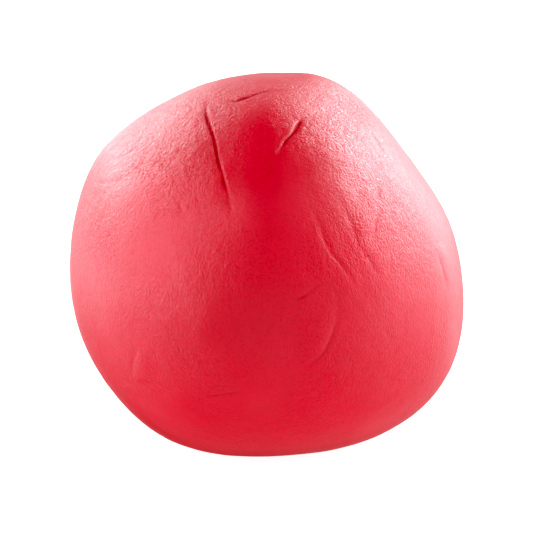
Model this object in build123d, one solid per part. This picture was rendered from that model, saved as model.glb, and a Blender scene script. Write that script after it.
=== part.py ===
from build123d import *
import os
from math import acos, cos, degrees, exp, radians, sin

# Case opening friction ball: a soft rubber skin round a core of mouldable gel, closed by a plug.
# It is pressed on a screwed watch case back, which it grips by friction, and turned by hand.
# Frame: +Z up, the front faces -Y, and the origin is under the middle of the ball, on its foot.
# All sizes are in millimetres and all angles in degrees.

# The ball
BALL_RADIUS = 33.75         # of the round part, between its lobes
FOOT_DROP = 31.4            # from the ball's middle to the level that its foot is pressed to
FOOT_SHARPNESS = 30         # how tightly the side turns into the foot
FOOT_TRIM = 0.35            # cut off the foot, which leaves it a true flat
SKIN = 1.5                  # wall of the rubber skin

# Lobes that a hand has kneaded into the ball. Each has the azimuth of its middle, from the front
# towards +X, its elevation, its height, which is negative for a flat, and its spread.
LOBES = {
    "right_flat": (92, 36, -2.2, 24),
    "crown": (107, 70, 1.2, 14),
    "top_flat": (-112, 61, -0.6, 55),
    "left_shoulder": (-98, 33, 1.3, 16),
    "low_right": (76, -32, 3.4, 27),
    "low_left": (-60, -62, 0.7, 29),
    "brow_dent": (-4, 44, -1.1, 16),
    "belly": (8, -14, 0.9, 34),
    "left_cheek": (-46, -6, 0.6, 24),
    "back_flat": (168, 18, -1.4, 34),
    "back_left": (-138, -26, 1.3, 26),
}

# Sections that the ball is lofted through
RINGS = 15
RING_POINTS = 24

# Filling neck: a tube moulded on the skin's inside, at the back of the ball
NECK_AZIMUTH = 172
NECK_ELEVATION = -8
NECK_RADIUS = 5.4
NECK_LENGTH = 9.0           # from the skin's outer face to the neck's inner end

# Plug that closes the neck: a stem as wide as the bore, under a domed head let into the skin
STEM_RADIUS = 2.75
STEM_CHAMFER = 0.5          # at its inner end, which leads it into the neck
HEAD_RADIUS = 4.6
HEAD_THICKNESS = 1.0        # at the rim
HEAD_SINK = 0.4             # of the rim, below the skin's outer face at the neck's axis
HEAD_DOME = 0.3             # rise of the head from its rim to its middle
CUT_CLEAR = 3.0             # how far a cutting tool runs out past the skin


def direction(azimuth, elevation):
    """Unit vector at an azimuth from the front towards +X, and an elevation above the level."""
    level = cos(radians(elevation))
    return Vector(
        sin(radians(azimuth)) * level,
        -cos(radians(azimuth)) * level,
        sin(radians(elevation)),
    )


def ball_radius(toward):
    """Distance from the ball's middle to its outer face along a unit vector."""
    radius = BALL_RADIUS
    for azimuth, elevation, height, spread in LOBES.values():
        cosine = max(-1.0, min(1.0, toward.dot(direction(azimuth, elevation))))
        radius += height * exp(-((degrees(acos(cosine)) / spread) ** 2))
    if toward.Z >= 0:
        return radius
    to_foot = FOOT_DROP / -toward.Z
    near, far = sorted((radius, to_foot))
    return near * (1 + (near / far) ** FOOT_SHARPNESS) ** (-1 / FOOT_SHARPNESS)


def lumpy_ball(inset):
    """Solid as lumpy as the ball and inset from its outer face, with a flat foot."""

    def point(azimuth, elevation):
        toward = direction(azimuth, elevation)
        return toward * (ball_radius(toward) - inset)

    sections = [Vertex(point(0, 90))]
    for ring in range(1, RINGS + 1):
        elevation = 90 - 180 * ring / (RINGS + 1)
        points = [point(360 * i / RING_POINTS, elevation) for i in range(RING_POINTS)]
        sections.append(Wire([Edge.make_spline(points, periodic=True)]))
    sections.append(Vertex(point(0, -90)))
    whole = Solid.make_loft(sections)
    foot_level = inset + FOOT_TRIM - FOOT_DROP
    return split(whole, Plane.XY.offset(foot_level), keep=Keep.TOP)


def neck_plane():
    """Plane square to the filling neck, with its origin on the skin and +Z out of the ball."""
    outward = direction(NECK_AZIMUTH, NECK_ELEVATION)
    return Plane(origin=outward * ball_radius(outward), z_dir=outward)


def rod(plane, radius, bottom, top):
    """Cylinder on the neck's axis, between two heights over the neck's plane."""
    return plane * Pos(0, 0, bottom) * extrude(Circle(radius), top - bottom)


def rubber_skin(ball, core, plane):
    """Skin with the filling neck inside it, the neck's bore, and the seat of the plug's head."""
    seat = -HEAD_SINK - HEAD_THICKNESS
    skin = ball - core + rod(plane, NECK_RADIUS, -NECK_LENGTH, seat)
    return skin - rod(plane, STEM_RADIUS, -NECK_LENGTH, 0) - rod(plane, HEAD_RADIUS, seat, CUT_CLEAR)


def gel_filling(core, plane):
    """Gel, which fills the skin round its neck."""
    return core - rod(plane, NECK_RADIUS, -NECK_LENGTH, 0)


def filling_plug(plane):
    """Plug turned about the neck's axis, from its chamfered stem to its domed head."""
    rim, seat = -HEAD_SINK, -HEAD_SINK - HEAD_THICKNESS
    middle = (0, rim + HEAD_DOME)
    outline = Polyline(
        middle,
        (0, -NECK_LENGTH),
        (STEM_RADIUS - STEM_CHAMFER, -NECK_LENGTH),
        (STEM_RADIUS, STEM_CHAMFER - NECK_LENGTH),
        (STEM_RADIUS, seat),
        (HEAD_RADIUS, seat),
        (HEAD_RADIUS, rim),
    )
    dome = TangentArc(middle, (HEAD_RADIUS, rim), tangent=(1, 0))
    return plane * revolve(Plane.XZ * make_face(outline + dome), Axis.Z)


def build():
    """Every piece of the ball by its node's name, with the origin under the ball's middle."""
    ball = lumpy_ball(0)
    core = lumpy_ball(SKIN)
    plane = neck_plane()
    pieces = {
        "rubber_skin": rubber_skin(ball, core, plane),
        "gel_filling": gel_filling(core, plane),
        "filling_plug": filling_plug(plane),
    }
    box = ball.bounding_box()
    middle = box.center()
    return {name: Pos(-middle.X, -middle.Y, -box.min.Z) * piece for name, piece in pieces.items()}


os.makedirs("parts", exist_ok=True)
for node, piece in build().items():
    export_step(piece, f"parts/{node}.step")
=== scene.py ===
import random
from math import cos, pi, radians, sin

import bmesh
import bpy
import numpy as np
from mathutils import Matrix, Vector, noise
from mathutils.bvhtree import BVHTree


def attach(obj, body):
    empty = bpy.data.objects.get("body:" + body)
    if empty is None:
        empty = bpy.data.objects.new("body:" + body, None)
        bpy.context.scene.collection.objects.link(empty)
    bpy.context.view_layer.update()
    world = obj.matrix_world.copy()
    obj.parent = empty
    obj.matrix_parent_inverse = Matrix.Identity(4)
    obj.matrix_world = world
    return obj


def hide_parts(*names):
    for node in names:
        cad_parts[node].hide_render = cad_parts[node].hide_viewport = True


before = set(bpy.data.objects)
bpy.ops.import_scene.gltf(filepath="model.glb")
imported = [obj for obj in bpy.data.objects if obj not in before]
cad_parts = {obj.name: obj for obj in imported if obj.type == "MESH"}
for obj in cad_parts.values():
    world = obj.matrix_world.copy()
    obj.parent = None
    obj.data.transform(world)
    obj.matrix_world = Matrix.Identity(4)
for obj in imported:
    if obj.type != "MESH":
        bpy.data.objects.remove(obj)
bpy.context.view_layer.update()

# Case opening friction ball: a soft, kneaded ball of red rubber, full of gel and closed by a plug.
# Shapes are worked out in millimetres and turned into metres as each mesh is made. An azimuth is
# in degrees from the front, -Y, towards +X, and an elevation is in degrees above the level.

MM = 0.001

# The skin
BALL_RADIUS = 34.0          # mean, which turns angles into lengths along the skin
BALL_MIDDLE = 31.0          # height that the ball's directions start from
SKIN = 1.5                  # wall
OUTER_CELLS = 122           # grid squares along an edge of the cube that each face is mapped from
INNER_CELLS = 36
FINE_SPOT = (0, 25)         # azimuth and elevation where the outer grid is finest
FINE_DRAW = 1.6             # how much finer it is there than it would be even
EVEN_PASSES = 40            # smoothing of the radii read off the faceted CAD face
INNER_PASSES = 3

# The filling neck at the back, as in the CAD
NECK_AZIMUTH = 172
NECK_ELEVATION = -8
NECK_RADIUS = 5.4
NECK_LENGTH = 9.0
STEM_RADIUS = 2.75
SEAT_RADIUS = 4.6
SEAT_DEPTH = 1.4
LIP_RADIUS = 5.1            # where the skin starts to round over into the plug's seat

# Folds that kneading has left. Each is a line of (azimuth, elevation) points, with its depths and
# its half widths at the start and the end, and the height of the swelling on its right side, which
# is negative where the swelling is on its left.
FOLDS = {
    "left_fold": (
        [(-55, 70), (-43, 63), (-34, 58), (-25, 51), (-20, 44), (-16, 38), (-12, 30), (-10, 24)],
        (0.24, 0.08), (0.36, 0.32), -0.07),
    "right_fold": (
        [(23, 61), (18, 58), (14, 55), (10, 52), (6, 48), (4, 44)],
        (0.26, 0.05), (0.42, 0.34), 0.05),
    "crescent": (
        [(-40, 69), (-26, 68), (-16, 71), (-6, 74), (11, 75), (26, 73)],
        (0.16, 0.05), (0.4, 0.35), 0.05),
    "shoulder_crease": (
        [(44, 37), (42, 32), (40, 27), (37, 23), (34, 18), (31, 15)],
        (0.07, 0.05), (0.5, 0.5), -0.07),
    "shoulder_furrow": (
        [(24, 36), (25, 30), (27, 24), (28, 17), (31, 13), (34, 8), (38, 4)],
        (0.03, 0.045), (0.55, 0.5), 0.05),
    "cheek_fold": (
        [(14, 31), (16, 25), (17, 21), (19, 16), (22, 12), (25, 7), (30, 0)],
        (0.035, 0.07), (0.5, 0.5), -0.05),
    "chin_fold": (
        [(21, 2), (20, -4), (19, -8), (17, -13), (14, -16), (9, -20)],
        (0.06, 0.08), (0.5, 0.55), -0.16),
    "mouth": (
        [(6, 1), (9, 3), (11, 4), (14, 6), (16, 9)],
        (0.07, 0.05), (0.35, 0.35), 0.06),
    "jaw_ridge": (
        [(-38, -12), (-42, -16), (-45, -21), (-47, -25), (-46, -29)],
        (0.06, 0.05), (0.5, 0.5), 0.16),
    "jaw_line": (
        [(-21, -25), (-14, -24), (-7, -24)],
        (0.07, 0.06), (0.3, 0.3), 0.0),
    "jaw_line_low": (
        [(-23, -29), (-14, -27), (-6, -25)],
        (0.06, 0.06), (0.3, 0.3), 0.0),
    "left_nick": (
        [(-36, 34), (-30, 29), (-27, 26), (-24, 22)],
        (0.05, 0.04), (0.35, 0.35), 0.03),
    "shoulder_cut": (
        [(-80, 34), (-70, 39), (-65, 43), (-62, 46)],
        (0.08, 0.07), (0.32, 0.32), 0.0),
    "shoulder_step": (
        [(-73, 29), (-62, 32), (-55, 36)],
        (0.07, 0.06), (0.35, 0.35), 0.0),
    "brow_cut": (
        [(61, 52), (58, 46), (56, 42)],
        (0.1, 0.08), (0.35, 0.35), 0.0),
    "side_pleat": (
        [(62, 12), (64, 5), (65, -3)],
        (0.08, 0.07), (0.4, 0.4), 0.08),
}
FOLD_FADE = 0.3             # share of a fold's length over which each end dies away
FOLD_STRAY = 0.14           # how far a fold wanders off its line
STRAY_LENGTH = 2.4          # along the fold, between its wanderings
SWELL_REACH = 2.6           # how far out a fold's swelling spreads
SWELL_CREST = 2.3           # scales a fold's swelling so that its crest is as high as it says

# Broad swellings, finer than the CAD's lobes. Each has its azimuth and elevation, its height, and
# its half width across and up the ball.
SWELLS = {"brow": (-1, 36, 0.60, 5.5, 17.0), "keel": (-1, 26, 0.7, 13.0, 17.0)}

# Short creases over the rest of the ball, which fan out from a pole near the crown. Each draws its
# place, bend and length, in radians, then its depth, half width and swelling, from these ranges.
CREASE_COUNT = 34
CREASE_SEED = 11
CREASE_CLEAR = 84           # angle from the front within which none starts
CREASE_DROP = (0.35, 2.2)   # from the pole to its start
CREASE_BEND = (-0.25, 0.25)
CREASE_LENGTH = (0.2, 0.55)
CREASE_DEPTH = (0.03, 0.08)
CREASE_WIDTH = (0.4, 0.6)
CREASE_SWELL = (-0.12, 0.12)
CREASE_TAIL = 0.6           # depth at its end over the depth at its start
POLE_AZIMUTH = 0
POLE_ELEVATION = 76

# Where the skin is more wrinkled than elsewhere, or smoother where the strength is negative. Each
# has its azimuth, elevation, strength, and spread, as one less the cosine of an angle.
WRINKLED = [
    (-66, 44, 1.1, 0.12), (58, 46, 0.95, 0.10), (-28, 65, 0.7, 0.045), (-50, -5, 0.18, 0.14),
    (0, 38, -0.15, 0.05), (17, 64, -0.35, 0.02), (34, -24, 0.2, 0.03), (21, 43, -0.35, 0.035),
    (180, 30, 0.4, 0.4)]
LEAST_WRINKLED = 0.40
WRINKLE_STRETCH = 1.4       # height of a wrinkle over its width

# How much the wrinkles come and go from patch to patch: mean, swing, limits and size of a patch
PATCH_MEAN = 0.75
PATCH_SWING = 0.5
PATCH_LIMITS = (0.35, 1.2)
PATCH_SIZE = 11.0

# Noise that the wrinkles and the lumps come from. Each has a shift, which keeps it apart from the
# others, its size and its height.
WRINKLES = ((0, 2.6, 0.06), (70, 1.3, 0.07))
LUMPS = ((0, 15.0, 0.16), (20, 5.0, 0.05), (60, 2.4, 0.025))
RIDGE_MEAN = 0.25           # of the ridged noise, which is taken off it
WRINKLE_BEND = 1.6          # how far the wrinkles are bent off their even spread
BEND_LENGTH = 9.0

# The collar in the skin round the plug, and the gathers that start past it and die away. Radii and
# the two pairs of limits are distances from the neck's axis.
COLLAR_RADIUS = 5.6
COLLAR_HEIGHT = 0.2
COLLAR_SPREAD = 1.5
GATHER_HEIGHT = 0.4
GATHER_START = (5.0, 6.6)
GATHER_END = (8.0, 15.0)
GATHER_RING = 2.4           # radius of the ring that their noise is read on
GATHER_SIZE = 0.55          # of the noise
GATHER_MEAN = 0.3           # of the ridged noise
GATHER_LENGTH = 9.0         # over which a gather changes
FOLDS_START = (5.2, 8.5)    # over which the folds and wrinkles come in


def toward(azimuth, elevation):
    """Unit vector at an azimuth and an elevation."""
    level = cos(radians(elevation))
    return np.array([
        sin(radians(azimuth)) * level, -cos(radians(azimuth)) * level, sin(radians(elevation))])


def unit(vectors):
    """Each row scaled to a length of one."""
    return vectors / np.linalg.norm(vectors, axis=-1, keepdims=True)


def smoothstep(low, high, values):
    """0 below low, 1 above high, and a smooth rise between them."""
    t = np.clip((values - low) / (high - low), 0, 1)
    return t * t * (3 - 2 * t)


def perlin(points, size):
    """Smooth noise from about -1 to 1 at each row, with lumps about as wide as size."""
    return np.array([noise.noise(p) for p in points / size])


def cube_sphere(cells):
    """Directions and quads of a ball mapped from a cube with that many squares along an edge."""
    steps = np.arange(cells + 1)
    along, across = np.meshgrid(steps, steps, indexing="ij")
    faces, quads = [], []
    for axis in range(3):
        for side in (0, cells):
            face = np.full((cells + 1, cells + 1, 3), side)
            face[..., (axis + 1) % 3] = along
            face[..., (axis + 2) % 3] = across
            number = np.arange(face[..., 0].size).reshape(along.shape) + len(faces) * along.size
            square = np.stack(
                [number[:-1, :-1], number[1:, :-1], number[1:, 1:], number[:-1, 1:]], -1)
            quads.append(square.reshape(-1, 4)[:, :: 1 if side else -1])
            faces.append(face.reshape(-1, 3))
    lattice, where = np.unique(np.concatenate(faces), axis=0, return_inverse=True)
    return unit(np.tan((2 * lattice / cells - 1) * pi / 4)), where.reshape(-1)[np.concatenate(quads)]


def drawn_to(spot, directions, draw):
    """The directions turned towards a spot, which packs them more closely there."""
    front = toward(*spot)
    ahead = directions @ front
    aside = directions - ahead[:, None] * front
    half = np.sqrt(np.clip((1 - ahead) / np.maximum(1 + ahead, 1e-12), 0, 1e12)) / draw
    cosine = (1 - half**2) / (1 + half**2)
    sine = 2 * half / (1 + half**2)
    length = np.maximum(np.linalg.norm(aside, axis=1), 1e-12)
    return unit(cosine[:, None] * front + (sine / length)[:, None] * aside)


# --- The shape of the skin's outer face ---

NECK_OUT = toward(NECK_AZIMUTH, NECK_ELEVATION)


def cad_radii(directions):
    """Distance from the ball's middle to the CAD skin's outer face along each direction."""
    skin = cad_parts["rubber_skin"].data
    tree = BVHTree.FromPolygons(
        [v.co / MM for v in skin.vertices], [p.vertices for p in skin.polygons])
    start = 2 * BALL_RADIUS
    middle = Vector((0, 0, BALL_MIDDLE))
    radii = []
    for direction in map(Vector, round_neck(directions)):
        radii.append(start - tree.ray_cast(middle + direction * start, -direction)[3])
    return np.array(radii)


def round_neck(directions):
    """The directions, with those into the plug's seat moved to the skin beside it."""
    clear = 1.3 * SEAT_RADIUS / BALL_RADIUS
    along = directions @ NECK_OUT
    aside = directions - along[:, None] * NECK_OUT
    sine = np.linalg.norm(aside, axis=1)
    inside = (along > 0) & (sine < clear)
    moved = directions.copy()
    aside_unit = aside[inside] / np.maximum(sine[inside], 1e-9)[:, None]
    moved[inside] = unit(NECK_OUT + clear * aside_unit)
    return moved


def evened(values, quads, passes):
    """Values at the grid's corners, each pass moving them halfway to their neighbours' mean."""
    edges = np.concatenate([quads[:, [i, (i + 1) % 4]] for i in range(4)])
    count = np.bincount(edges[:, 0], minlength=len(values))
    for _ in range(passes):
        mean = np.bincount(edges[:, 0], values[edges[:, 1]], len(values)) / count
        values = (values + mean) / 2
    return values


def smooth_line(points, steps=8):
    """Directions along a smooth line through (azimuth, elevation) points."""
    corners = np.array([toward(*p) for p in points])
    ends = np.vstack([2 * corners[0] - corners[1], corners, 2 * corners[-1] - corners[-2]])
    t = np.arange(steps)[:, None] / steps
    spans = [
        b + ((c - a) * t + (2 * a - 5 * b + 4 * c - d) * t**2 + (3 * (b - c) + d - a) * t**3) / 2
        for a, b, c, d in zip(ends, ends[1:], ends[2:], ends[3:])
    ]
    return unit(np.vstack(spans + [corners[-1:]]))


def beside(line, directions):
    """How far each direction is to the right of a line down the ball, and its place along it."""
    best = np.full(len(directions), np.inf)
    offset, along = np.zeros(len(directions)), np.zeros(len(directions))
    for i, (a, b) in enumerate(zip(line, line[1:])):
        t = np.clip((directions - a) @ (b - a) / ((b - a) @ (b - a)), 0, 1)
        gap = directions - a - t[:, None] * (b - a)
        far = np.linalg.norm(gap, axis=1)
        near = far < best
        best[near] = far[near]
        along[near] = (i + t[near]) / (len(line) - 1)
        offset[near] = (far * np.sign(gap @ np.cross(a, b - a)))[near]
    return offset * BALL_RADIUS, along


def fold_height(fold, directions):
    """Height that one fold adds at each direction, and how deep in its groove that is."""
    points, depths, widths, swell = fold
    line = smooth_line(points)
    height, groove = np.zeros(len(directions)), np.zeros(len(directions))
    middle = unit(line.mean(0))
    reach = np.arccos(np.clip(line @ middle, -1, 1)).max() + 4 * SWELL_REACH / BALL_RADIUS
    close = directions @ middle > cos(reach)
    offset, along = beside(line, directions[close])
    stray = perlin(directions[close] * BALL_RADIUS, STRAY_LENGTH)
    offset = offset + FOLD_STRAY * stray
    fade = smoothstep(0, FOLD_FADE, along) * smoothstep(0, FOLD_FADE, 1 - along) * (1 + 0.5 * stray)
    depth = fade * (depths[0] + (depths[1] - depths[0]) * along)
    width = widths[0] + (widths[1] - widths[0]) * along
    cut = np.exp(-(offset / width) ** 2)
    side = np.maximum(offset * np.sign(swell or 1), 0) / SWELL_REACH
    height[close] = SWELL_CREST * abs(swell) * fade * side * np.exp(-(side**2)) - depth * cut
    groove[close] = depth * cut
    return height, groove


def swell_height(swell, directions):
    """Height that one broad swelling adds at each direction."""
    azimuth, elevation, height, half_across, half_up = swell
    spot = toward(azimuth, elevation)
    across = directions @ toward(azimuth + 90, 0) * BALL_RADIUS
    up = directions @ np.cross(spot, toward(azimuth + 90, 0)) * BALL_RADIUS
    shape = np.exp(-((across / half_across) ** 2) - (up / half_up) ** 2)
    return np.where(directions @ spot > 0, height * shape, 0.0)


def flow_frame():
    """Pole that the creases fan out from, and two directions square to it."""
    pole = toward(POLE_AZIMUTH, POLE_ELEVATION)
    side = unit(np.cross(pole, [0.0, 1.0, 0.0]))
    return pole, side, np.cross(pole, side)


def crease_folds():
    """Short creases away from the front, each made as a fold that runs out from the pole."""
    chance = random.Random(CREASE_SEED)
    front = toward(0, 0)
    pole, side, ahead = flow_frame()
    folds = []
    while len(folds) < CREASE_COUNT:
        round_pole, down = chance.uniform(0, 2 * pi), chance.uniform(*CREASE_DROP)
        bend, length = chance.uniform(*CREASE_BEND), chance.uniform(*CREASE_LENGTH)
        depth, width = chance.uniform(*CREASE_DEPTH), chance.uniform(*CREASE_WIDTH)
        swell = chance.uniform(*CREASE_SWELL)
        points = []
        for step in (0, 0.5, 1):
            turn = round_pole + bend * step**2
            drop = down + length * step
            way = cos(drop) * pole + sin(drop) * (cos(turn) * side + sin(turn) * ahead)
            points.append((np.degrees(np.arctan2(way[0], -way[1])), np.degrees(np.arcsin(way[2]))))
        if toward(*points[0]) @ front < cos(radians(CREASE_CLEAR)):
            folds.append((points, (depth, depth * CREASE_TAIL), (width, width), swell))
    return folds


def wrinkledness(directions):
    """How wrinkled the skin is at each direction: most on the shoulders, least underneath."""
    shoulders = sum(
        strength * np.exp(-((1 - directions @ toward(azimuth, elevation)) / spread))
        for azimuth, elevation, strength, spread in WRINKLED)
    patches = PATCH_MEAN + PATCH_SWING * perlin(directions * BALL_RADIUS + 40, PATCH_SIZE)
    return (LEAST_WRINKLED + shoulders) * np.clip(patches, *PATCH_LIMITS)


def wrinkle_height(directions, amount):
    """Height of the lumps, and of the wrinkles that the grid is fine enough to carry."""
    places = directions * BALL_RADIUS
    stray = np.stack([perlin(places + shift, BEND_LENGTH) for shift in (0, 50, 100)], 1)
    bent = places + WRINKLE_BEND * stray
    bent[:, 2] /= WRINKLE_STRETCH
    wrinkles = sum(
        height * (np.abs(perlin(bent + shift, size)) - RIDGE_MEAN)
        for shift, size, height in WRINKLES)
    lumps = sum(height * perlin(places + shift, size) for shift, size, height in LUMPS)
    return lumps + amount * wrinkles


def neck_height(directions):
    """Collar round the plug, and the short gathers that run out from it."""
    across = directions - (directions @ NECK_OUT)[:, None] * NECK_OUT
    far = np.linalg.norm(across, axis=1) * BALL_RADIUS
    far[directions @ NECK_OUT < 0] = BALL_RADIUS
    up = np.cross(NECK_OUT, [1.0, 0.0, 0.0])
    turn = np.arctan2(across @ up, across @ np.cross(NECK_OUT, up))
    ring = np.stack([np.cos(turn), np.sin(turn), far / GATHER_LENGTH], 1) * GATHER_RING
    gathers = np.abs(perlin(ring, GATHER_SIZE)) - GATHER_MEAN
    shown = smoothstep(*GATHER_START, far) * (1 - smoothstep(*GATHER_END, far))
    collar = COLLAR_HEIGHT * np.exp(-(((far - COLLAR_RADIUS) / COLLAR_SPREAD) ** 2))
    return collar + GATHER_HEIGHT * gathers * shown


def near_neck(directions):
    """0 at the plug's seat, rising to 1 clear of it."""
    across = np.linalg.norm(np.cross(directions, NECK_OUT), axis=1) * BALL_RADIUS
    across[directions @ NECK_OUT < 0] = BALL_RADIUS
    return smoothstep(*FOLDS_START, across)


# --- Meshes ---

def to_object(name, mesh_data):
    """A new object for a bmesh worked out in millimetres, smooth shaded, in metres."""
    mesh = bpy.data.meshes.new(name)
    bmesh.ops.scale(mesh_data, vec=(MM, MM, MM), verts=mesh_data.verts)
    mesh_data.to_mesh(mesh)
    mesh_data.free()
    mesh.polygons.foreach_set("use_smooth", [True] * len(mesh.polygons))
    piece = bpy.data.objects.new(name, mesh)
    bpy.context.scene.collection.objects.link(piece)
    return piece


def neck_origin():
    """Point of the neck's axis on the CAD skin's outer face."""
    plug = np.array([v.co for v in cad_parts["filling_plug"].data.vertices]) / MM
    along = plug @ NECK_OUT
    base = plug[along < along.min() + 0.01].mean(0)
    return base + NECK_LENGTH * NECK_OUT


def axis_place(points, origin):
    """Height of each point along the neck's axis, and its offset from the axis."""
    along = (points - origin) @ NECK_OUT
    return along, points - origin - along[:, None] * NECK_OUT


def add_grid(mesh, points, quads, origin, hole, inward):
    """Adds a closed grid with a round hole about the neck's axis, and gives the hole's rim."""
    along, aside = axis_place(points, origin)
    far = np.linalg.norm(aside, axis=1)
    in_hole = (far < hole) & (along > -0.5 * BALL_RADIUS)
    kept = quads[~in_hole[quads].any(1)]
    used = np.unique(kept)
    edges = np.sort(np.concatenate([kept[:, [i, (i + 1) % 4]] for i in range(4)]), 1)
    pairs, count = np.unique(edges, axis=0, return_counts=True)
    rim = np.unique(pairs[count == 1])
    points = points.copy()
    points[rim] += (hole / far[rim] - 1)[:, None] * aside[rim]
    made = {i: mesh.verts.new(points[i]) for i in used.tolist()}
    for quad in kept[:, ::-1 if inward else 1].tolist():
        mesh.faces.new([made[i] for i in quad])
    up = np.cross(NECK_OUT, [1.0, 0.0, 0.0])
    turn = np.arctan2(aside[rim] @ up, aside[rim] @ np.cross(NECK_OUT, up))
    return [made[i] for i in rim[np.argsort(turn)].tolist()], used


def add_ring(mesh, rim, origin, radius, depth):
    """Adds a ring of the same number of corners, joined to a rim by quads."""
    places = np.array([v.co for v in rim])
    aside = unit(axis_place(places, origin)[1])
    ring = [mesh.verts.new(p) for p in origin - depth * NECK_OUT + radius * aside]
    for i in range(len(rim)):
        j = (i + 1) % len(rim)
        mesh.faces.new([rim[i], rim[j], ring[j], ring[i]])
    return ring


def loop_edges(mesh, loop):
    """The edges round a closed loop of corners."""
    return [mesh.edges.get((a, b)) or mesh.edges.new((a, b)) for a, b in zip(loop, loop[1:] + loop[:1])]


def outer_shape(directions, quads):
    """Places of the skin's outer face, and what its material is told of each: how wrinkled it is, and
    how deep in a fold's groove, which its painted shade and roughness follow.
    """
    radii = evened(cad_radii(directions), quads, EVEN_PASSES)
    clear = near_neck(directions)
    amount = wrinkledness(directions)
    height = wrinkle_height(directions, amount)
    for swell in SWELLS.values():
        height += swell_height(swell, directions)
    groove = np.zeros(len(directions))
    for fold in list(FOLDS.values()) + crease_folds():
        added, cut = fold_height(fold, directions)
        height += added
        groove = np.maximum(groove, cut)
    height = height * clear + neck_height(directions)
    points = directions * (radii + height)[:, None]
    points[:, 2] = np.maximum(points[:, 2] + BALL_MIDDLE, 0)
    return points, {"wrinkles": amount, "groove": groove}


def neck_profile():
    """Radius and depth of each ring: over the seat's lip, down the bore and up outside the neck."""
    lip = LIP_RADIUS**2 / (2 * BALL_RADIUS)
    return (
        (4.85, lip + 0.02), (4.68, lip + 0.16), (SEAT_RADIUS, lip + 0.4),
        (SEAT_RADIUS, SEAT_DEPTH), (STEM_RADIUS, SEAT_DEPTH),
        (STEM_RADIUS, NECK_LENGTH - 0.2), (STEM_RADIUS + 0.2, NECK_LENGTH),
        (NECK_RADIUS - 0.3, NECK_LENGTH), (NECK_RADIUS, NECK_LENGTH - 0.3),
        (NECK_RADIUS, SKIN + 1.2),
    )


def make_skin():
    """The skin as one closed shell: outer face, plug's seat, filling neck and inner face."""
    directions, quads = cube_sphere(OUTER_CELLS)
    directions = drawn_to(FINE_SPOT, directions, FINE_DRAW)
    points, told = outer_shape(directions, quads)
    origin = neck_origin()
    mesh = bmesh.new()
    rim, used = add_grid(mesh, points, quads, origin, LIP_RADIUS, inward=False)
    ring = rim
    for radius, depth in neck_profile():
        ring = add_ring(mesh, ring, origin, radius, depth)
    inner_directions, inner_quads = cube_sphere(INNER_CELLS)
    inner_radii = evened(cad_radii(inner_directions), inner_quads, INNER_PASSES) - SKIN
    inner = inner_directions * inner_radii[:, None]
    inner[:, 2] = np.maximum(inner[:, 2] + BALL_MIDDLE, SKIN)
    inner_rim, _ = add_grid(mesh, inner, inner_quads, origin, NECK_RADIUS + 0.4, inward=True)
    bmesh.ops.bridge_loops(mesh, edges=loop_edges(mesh, ring) + loop_edges(mesh, inner_rim))
    bmesh.ops.recalc_face_normals(mesh, faces=mesh.faces)
    total, open_edges = len(mesh.verts), sum(not e.is_manifold for e in mesh.edges)
    print("skin", total, "corners", len(mesh.faces), "faces", open_edges, "open edges")
    piece = to_object("rubber_skin_kneaded", mesh)
    for name, values in told.items():
        column = np.zeros(total, np.float32)
        column[: len(used)] = values[used]
        piece.data.attributes.new(name, "FLOAT", "POINT").data.foreach_set("value", column)
    return piece


def make_plug():
    """The moulded plug, turned about the neck's axis, with a rounded head and a gate mark."""
    profile = [
        (0.0, -0.3), (0.45, -0.28), (0.7, -0.16), (0.95, -0.12), (1.8, -0.12), (2.6, -0.16),
        (2.75, -0.24), (2.9, -0.24), (3.05, -0.18), (3.7, -0.26), (4.2, -0.36), (4.42, -0.47),
        (4.5, -0.66), (4.5, -1.32), (4.42, -SEAT_DEPTH), (STEM_RADIUS, -SEAT_DEPTH),
        (STEM_RADIUS, -8.5), (2.25, -NECK_LENGTH), (0.0, -NECK_LENGTH),
    ]
    turns = 96
    origin = neck_origin()
    up = unit(np.cross(NECK_OUT, [1.0, 0.0, 0.0]))
    across = np.cross(NECK_OUT, up)
    mesh = bmesh.new()
    rings = []
    for radius, height in profile:
        count = turns if radius else 1
        rings.append([
            mesh.verts.new(origin + height * NECK_OUT + radius * (cos(a) * up + sin(a) * across))
            for a in (2 * pi * i / turns for i in range(count))])
    for upper, lower in zip(rings, rings[1:]):
        for i in range(turns):
            j = (i + 1) % turns
            corners = [upper[i % len(upper)], upper[j % len(upper)],
                       lower[j % len(lower)], lower[i % len(lower)]]
            mesh.faces.new(list(dict.fromkeys(corners)))
    bmesh.ops.recalc_face_normals(mesh, faces=mesh.faces)
    return to_object("filling_plug_moulded", mesh)


# --- Materials ---

class NodeTree:
    """Short calls for building a tree of shader nodes."""

    def __init__(self, owner):
        owner.use_nodes = True
        self.tree = owner.node_tree

    def put(self, kind, inputs=None, **settings):
        node = self.tree.nodes.new(kind)
        for key, value in settings.items():
            setattr(node, key, value)
        for key, value in (inputs or {}).items():
            self.feed(node.inputs[key], value)
        return node

    def feed(self, socket, value):
        if isinstance(value, bpy.types.NodeSocket):
            self.tree.links.new(value, socket)
        else:
            socket.default_value = value

    def math(self, operation, a, b=0.5, c=0.5):
        return self.put("ShaderNodeMath", {0: a, 1: b, 2: c}, operation=operation).outputs[0]

    def ramp(self, value, low, high, to_low=0.0, to_high=1.0):
        return self.put("ShaderNodeMapRange", {
            "Value": value, "From Min": low, "From Max": high, "To Min": to_low,
            "To Max": to_high}, interpolation_type="SMOOTHSTEP").outputs["Result"]


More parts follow.
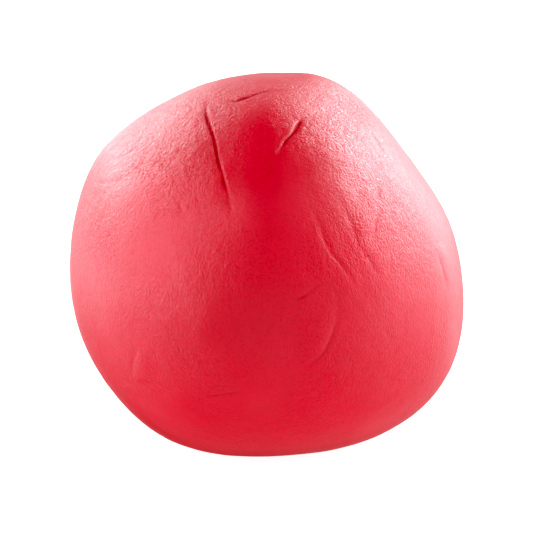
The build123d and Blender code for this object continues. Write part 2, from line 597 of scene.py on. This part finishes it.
class Surface(NodeTree):
    """A new material, and calls for the nodes that only materials use."""

    def __init__(self, name):
        self.material = bpy.data.materials.new(name)
        super().__init__(self.material)
        self.shader = self.tree.nodes["Principled BSDF"]

    def told(self, name):
        return self.put("ShaderNodeAttribute", attribute_name=name).outputs["Fac"]

    def place(self, scale=(1.0, 1.0, 1.0)):
        """Place on the piece in millimetres, drawn closer along each axis by its scale."""
        where = self.put("ShaderNodeTexCoord").outputs["Object"]
        inputs = {"Vector": where, "Scale": [share / MM for share in scale]}
        return self.put("ShaderNodeMapping", inputs).outputs[0]

    def noise(self, where, scale, detail=2.0, roughness=0.5, distortion=0.0):
        return self.put("ShaderNodeTexNoise", {
            "Vector": where, "Scale": scale, "Detail": detail, "Roughness": roughness,
            "Distortion": distortion}).outputs["Fac"]

    def blend(self, factor, a, b):
        node = self.put("ShaderNodeMix", {0: factor, 6: a, 7: b}, data_type="RGBA")
        return node.outputs[2]

    def bump(self, height, distance, strength=1.0):
        inputs = {"Height": height, "Distance": distance, "Strength": strength}
        return self.put("ShaderNodeBump", inputs).outputs["Normal"]

    def finish(self, colour, roughness, normal, **others):
        """Feeds the shader. Other inputs are given by their names, with _ for each space."""
        given = {"Base Color": colour, "Roughness": roughness, "Normal": normal}
        given.update((name.replace("_", " "), value) for name, value in others.items())
        for name, value in given.items():
            self.feed(self.shader.inputs[name], value)
        return self.material


# Colours, as light comes off them
RED = (0.56, 0.0016, 0.026, 1.0)
DEEP_RED = (0.47, 0.0010, 0.020, 1.0)
PALE_RED = (0.60, 0.0025, 0.030, 1.0)
# Painted shade: the red that a fold's groove is darkened towards, standing in for the shade deep in it
GROOVE_SHADE_RED = (0.33, 0.0010, 0.017, 1.0)
GLOSS_TINT = (1.0, 0.96, 1.0, 1.0)
GEL_PINK = (0.80, 0.42, 0.36, 1.0)
GEL_PALE = (0.86, 0.52, 0.46, 1.0)

# The skin's finest grain, which is bump. Scales are in lumps per millimetre.
GRAIN_SHARE = (1.0, 1.7, 0.8)  # how closely the grain is packed along X, Y and Z
GRAIN_DEPTH = 0.13
GRAIN_STRAY = 0.9           # how far the grain is bent off its even spread
PLATE_SCALE = 2.6
LUMP_SCALE = 1.9
FINE_CREASE_SCALE = 1.5
FINE_CREASE_SHARE = 0.3     # of the relief that its fine creases make
FINE_CREASE_REACH = 0.09    # how far off a crease's middle the relief falls away, as noise
CRACK_REACH = 0.05          # how far off it the painted shade hides the gloss
CRACK_SHADE = 0.85          # how much of the gloss a crack's painted shade hides
GRIME = 0.6                 # share of the deep red in the mottle that handling leaves
GROOVE_ENDS = (0.02, 0.12)  # depths at which a fold's painted shade starts and is darkest, with its gloss most hidden


def plate_grain(n, where):
    """Height of the leathery grain, and how near each place is to one of its fine creases."""
    plates = n.put("ShaderNodeTexVoronoi", {
        "Vector": where, "Scale": PLATE_SCALE, "Randomness": 1.0}).outputs["Distance"]
    domes = n.math("MULTIPLY", plates, plates)
    rough_face = n.math("MULTIPLY_ADD", domes, -0.5, n.noise(where, LUMP_SCALE, 3.0, 0.6))
    creased = n.math("ABSOLUTE", n.math("SUBTRACT", n.noise(where, FINE_CREASE_SCALE), 0.5))
    off_crease = n.ramp(creased, 0.0, FINE_CREASE_REACH)
    return n.math("MULTIPLY_ADD", off_crease, FINE_CREASE_SHARE, rough_face), creased


def skin_material():
    """Red rubber: a leathery grain with fine creases, a mottle from handling, and painted shade that
    darkens its folds and hides the gloss in them and in its fine creases.
    """
    n = Surface("red_rubber")
    wrinkles, groove = n.told("wrinkles"), n.told("groove")
    ball, grain = n.place(), n.place(GRAIN_SHARE)

    stray = n.put("ShaderNodeTexNoise", {"Vector": grain, "Scale": 0.6, "Detail": 2.0})
    bent = n.put("ShaderNodeVectorMath", {
        0: stray.outputs["Color"], 1: (GRAIN_STRAY,) * 3, 2: grain}, operation="MULTIPLY_ADD")
    relief, creased = plate_grain(n, bent.outputs[0])
    leathery = n.bump(relief, GRAIN_DEPTH * MM, wrinkles)

    patches = n.ramp(n.noise(ball, 0.07, 3.0, 0.55), 0.35, 0.7)
    mottle = n.ramp(n.noise(ball, 1.3, 4.0, 0.7), 0.35, 0.65)
    # Painted shade in the folds' grooves: this mask darkens the red and hides the gloss there, and also
    # makes the grooves rougher
    deep = n.ramp(groove, *GROOVE_ENDS)
    tint = n.blend(patches, RED, PALE_RED)
    tint = n.blend(n.math("MULTIPLY", mottle, GRIME), tint, DEEP_RED)
    # Painted shade: the red darkens deep in a fold
    tint = n.blend(n.math("MULTIPLY", deep, 0.9), tint, GROOVE_SHADE_RED)

    wear = n.ramp(n.noise(ball, 0.16, 4.0, 0.6), 0.3, 0.75, 0.28, 0.33)
    # Painted shade in the fine creases and in the folds' grooves, which hides the gloss there
    cracks = n.math("MULTIPLY", n.ramp(creased, 0.0, CRACK_REACH, 1.0, 0.0), wrinkles)
    shade = n.math("MINIMUM", n.math("MULTIPLY", cracks, CRACK_SHADE), 1.0)
    painted_gloss_shade = n.math("MAXIMUM", deep, shade)
    return n.finish(
        tint, n.math("MULTIPLY_ADD", deep, 0.15, wear), leathery, Specular_Tint=GLOSS_TINT,
        Specular_IOR_Level=n.math("MULTIPLY_ADD", painted_gloss_shade, -0.45, 0.5))


def plug_material():
    """The same rubber as the skin, moulded: smoother, a little darker, with fine mould grain."""
    n = Surface("plug_rubber")
    ball = n.place()
    wear = n.noise(ball, 0.5, 3.0, 0.5)
    tint = n.blend(n.ramp(wear, 0.35, 0.7), DEEP_RED, RED)
    mould_grain = n.bump(n.noise(ball, 2.6, 4.0, 0.65), 0.05 * MM)
    return n.finish(tint, n.ramp(wear, 0.3, 0.7, 0.42, 0.55), mould_grain)


def gel_material():
    """Pink gel, cloudy, with faint streaks and a wet gloss."""
    n = Surface("gel")
    streaks = n.noise(n.place((1.0, 1.0, 0.3)), 0.12, 4.0, 0.6, 1.5)
    share = n.ramp(streaks, 0.3, 0.7)
    return n.finish(
        n.blend(share, GEL_PINK, GEL_PALE), n.ramp(streaks, 0.3, 0.7, 0.12, 0.25),
        n.bump(streaks, 0.3 * MM), Subsurface_Weight=0.4, Subsurface_Scale=4 * MM)


def dress(piece, material, body="root"):
    """Gives a piece its material and the body that it moves with."""
    piece.data.materials.clear()
    piece.data.materials.append(material)
    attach(piece, body)


# --- Studio ---

# Soft panels round the ball, which its gloss shows. Each has the azimuths of its sides and how
# softly they end, the elevations of its lower and upper edges and how softly they end, and how
# bright it is. All are angles from the ball's middle.
PANELS = {
    "left": ((-140, -45), (25, 7), (-14, 55), (12, 12), 3.65),
    "left_core": ((-110, -52), (15, 4), (-8, 22), (10, 14), 0.5),
    "left_low": ((-130, -54), (25, 8), (-45, -12), (16, 14), 1.6),
    "left_rear": ((-162, -130), (8, 6), (9, 36), (5, 6), 9.0),
    "right": ((77, 160), (10, 10), (2, 53), (14, 8), 4.05),
    "right_core": ((91, 148), (5, 10), (14, 53), (14, 4), 4.2),
    "right_high": ((92, 156), (5, 8), (31, 51), (8, 4), 9.0),
    "right_crown": ((124, 150), (6, 5), (38, 54), (6, 5), 3.0),
    "right_side": ((70, 150), (12, 15), (-20, 50), (14, 14), 2.2),
    "right_low": ((62, 150), (14, 20), (-52, -15), (16, 14), 0.9),
    "right_near": ((40, 80), (12, 12), (-30, 50), (20, 14), 0.6),
    "brow": ((-60, -18), (10, 8), (28, 52), (12, 8), 0.3),
    "behind_left": ((-178, -150), (12, 12), (-20, 48), (14, 14), 0.9),
    "behind_right": ((158, 178), (10, 12), (-30, 42), (14, 14), 0.6),
    "behind_high": ((150, 172), (10, 10), (12, 38), (10, 10), 0.4),
    "room": ((-200, 200), (1, 1), (-2, 62), (14, 12), 0.28),
    "front_room": ((-50, 50), (20, 20), (-2, 80), (14, 8), 0.38),
    "underfoot": ((-70, 70), (20, 20), (-90, -64), (1, 12), 0.30),
    "low_behind_left": ((-200, -130), (1, 20), (-84, -42), (10, 12), 0.28),
    "low_behind_right": ((130, 200), (20, 1), (-84, -42), (10, 12), 0.28),
}
ROOM_GLOSS = 0.02           # brightness of the rest of the room in the gloss

# Broad lamps that light the colour of things and don't show in the gloss. Each has its azimuth
# and elevation from the ball's middle, and its power in watts.
LAMPS = {"left": (-106, 4, 21.5), "right": (106, 2, 24.0), "top": (0, 85, 6.9), "front": (0, 15, 0.2)}
LAMP_DISTANCE = 0.8
LAMP_SIZE = 1.25

FLOOR_GREY = (0.6, 0.6, 0.6, 1.0)
FLOOR_GLOW = 0.92
FLOOR_HALF_WIDTH = 4000
FLOOR_DROP = 0.02           # below the ball, so that the two don't share a plane
BACKDROP_GLOW = 1.5         # the room as the camera sees it, past the floor

# Long lens, in metres and degrees
CAMERA_DISTANCE = 0.6
CAMERA_ELEVATION = 12
CAMERA_AIM = BALL_MIDDLE + 0.1  # height, in millimetres
VIEW_WIDTH = 92.4           # at the ball, in millimetres
SENSOR_WIDTH = 36

# The camera's response. It clips the greens and blues of a deep red at a black above zero, and
# its red bends at a shoulder as it nears white.
CAMERA_BLACK = (0.0, 0.0190, 0.0275)
RED_SHOULDER = (0.86, 0.86)
RED_TOP = (1.0, 0.95)


def add_lamp(name, azimuth, elevation, power):
    """A square lamp that faces the ball's middle, and lights the colour of things only."""
    light = bpy.data.lights.new(name, "AREA")
    light.size = LAMP_SIZE
    light.energy = power
    # With importance sampling, scattered light would bring the lamp into the gloss as well.
    light.cycles.use_multiple_importance_sampling = False
    lamp = bpy.data.objects.new(name, light)
    out = Vector(toward(azimuth, elevation))
    lamp.location = out * LAMP_DISTANCE + Vector((0, 0, BALL_MIDDLE * MM))
    lamp.rotation_euler = out.to_track_quat("Z", "Y").to_euler()
    lamp.visible_glossy = False
    bpy.context.scene.collection.objects.link(lamp)


def make_floor():
    """Pale matt floor, wide enough to fill the view."""
    mesh = bmesh.new()
    bmesh.ops.create_grid(mesh, x_segments=8, y_segments=8, size=FLOOR_HALF_WIDTH)
    floor = to_object("floor", mesh)
    floor.location.z = -FLOOR_DROP * MM
    n = Surface("pale_floor")
    for name, value in {
        "Base Color": FLOOR_GREY, "Roughness": 0.9, "Specular IOR Level": 0.1,
        "Emission Color": (1.0, 1.0, 1.0, 1.0), "Emission Strength": FLOOR_GLOW,
    }.items():
        n.feed(n.shader.inputs[name], value)
    floor.data.materials.append(n.material)
    floor.visible_glossy = False


class Sky(NodeTree):
    """The world's nodes, with the way that a ray goes as an azimuth and an elevation."""

    def __init__(self):
        self.world = bpy.data.worlds.new("studio")
        super().__init__(self.world)
        where = self.put("ShaderNodeTexCoord").outputs["Generated"]
        split = self.put("ShaderNodeSeparateXYZ", {0: where})
        front = self.math("MULTIPLY", split.outputs["Y"], -1.0)
        turn = self.math("ARCTAN2", split.outputs["X"], front)
        self.azimuth = self.math("MULTIPLY", turn, 180 / pi)
        rise = self.math("ARCSINE", split.outputs["Z"])
        self.elevation = self.math("MULTIPLY", rise, 180 / pi)

    def between(self, value, ends, softness):
        """1 between two ends and 0 outside them, softened at each end."""
        low = self.ramp(value, ends[0] - softness[0], ends[0] + softness[0])
        high = self.ramp(value, ends[1] - softness[1], ends[1] + softness[1])
        return self.math("MULTIPLY", low, self.math("SUBTRACT", 1.0, high))


def make_world():
    """A white room, whose panels only the gloss sees."""
    sky = Sky()
    total = ROOM_GLOSS
    for sides, side_fade, edges, edge_fade, brightness in PANELS.values():
        across = sky.between(sky.azimuth, sides, side_fade)
        up = sky.between(sky.elevation, edges, edge_fade)
        panel = sky.math("MULTIPLY", across, up)
        total = sky.math("ADD", total, sky.math("MULTIPLY", panel, brightness))
    seen = sky.put("ShaderNodeLightPath").outputs["Is Camera Ray"]
    backdrop = sky.math("MULTIPLY", seen, BACKDROP_GLOW)
    back = sky.tree.nodes["Background"]
    sky.feed(back.inputs["Strength"], sky.math("MAXIMUM", total, backdrop))
    sky.feed(back.inputs["Color"], (1.0, 1.0, 1.0, 1.0))
    sky.world.cycles_visibility.diffuse = False
    bpy.context.scene.world = sky.world


def make_camera():
    """Long lens, straight in front of the ball and looking a little down on it."""
    camera = bpy.data.cameras.new("camera")
    camera.sensor_width = SENSOR_WIDTH
    camera.lens = SENSOR_WIDTH * CAMERA_DISTANCE / (VIEW_WIDTH * MM)
    eye = bpy.data.objects.new("camera", camera)
    out = Vector(toward(0, CAMERA_ELEVATION))
    eye.location = Vector((0, 0, CAMERA_AIM * MM)) + out * CAMERA_DISTANCE
    eye.rotation_euler = out.to_track_quat("Z", "Y").to_euler()
    bpy.context.scene.collection.objects.link(eye)
    bpy.context.scene.camera = eye


def set_colours():
    """Plain colours, with the camera's black and the shoulder of its red."""
    view = bpy.context.scene.view_settings
    view.view_transform = "Standard"
    view.use_curve_mapping = True
    curves = view.curve_mapping
    curves.black_level = CAMERA_BLACK
    red = curves.curves[0]
    red.points.new(*RED_SHOULDER)
    red.points[-1].location = RED_TOP
    curves.update()


skin = make_skin()
dress(skin, skin_material())
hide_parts("rubber_skin")

plug = make_plug()
dress(plug, plug_material())
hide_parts("filling_plug")

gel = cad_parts["gel_filling"]
gel.data.materials.clear()
gel.data.materials.append(gel_material())

make_floor()
make_world()
make_camera()
for name, (azimuth, elevation, power) in LAMPS.items():
    add_lamp(name, azimuth, elevation, power)
set_colours()
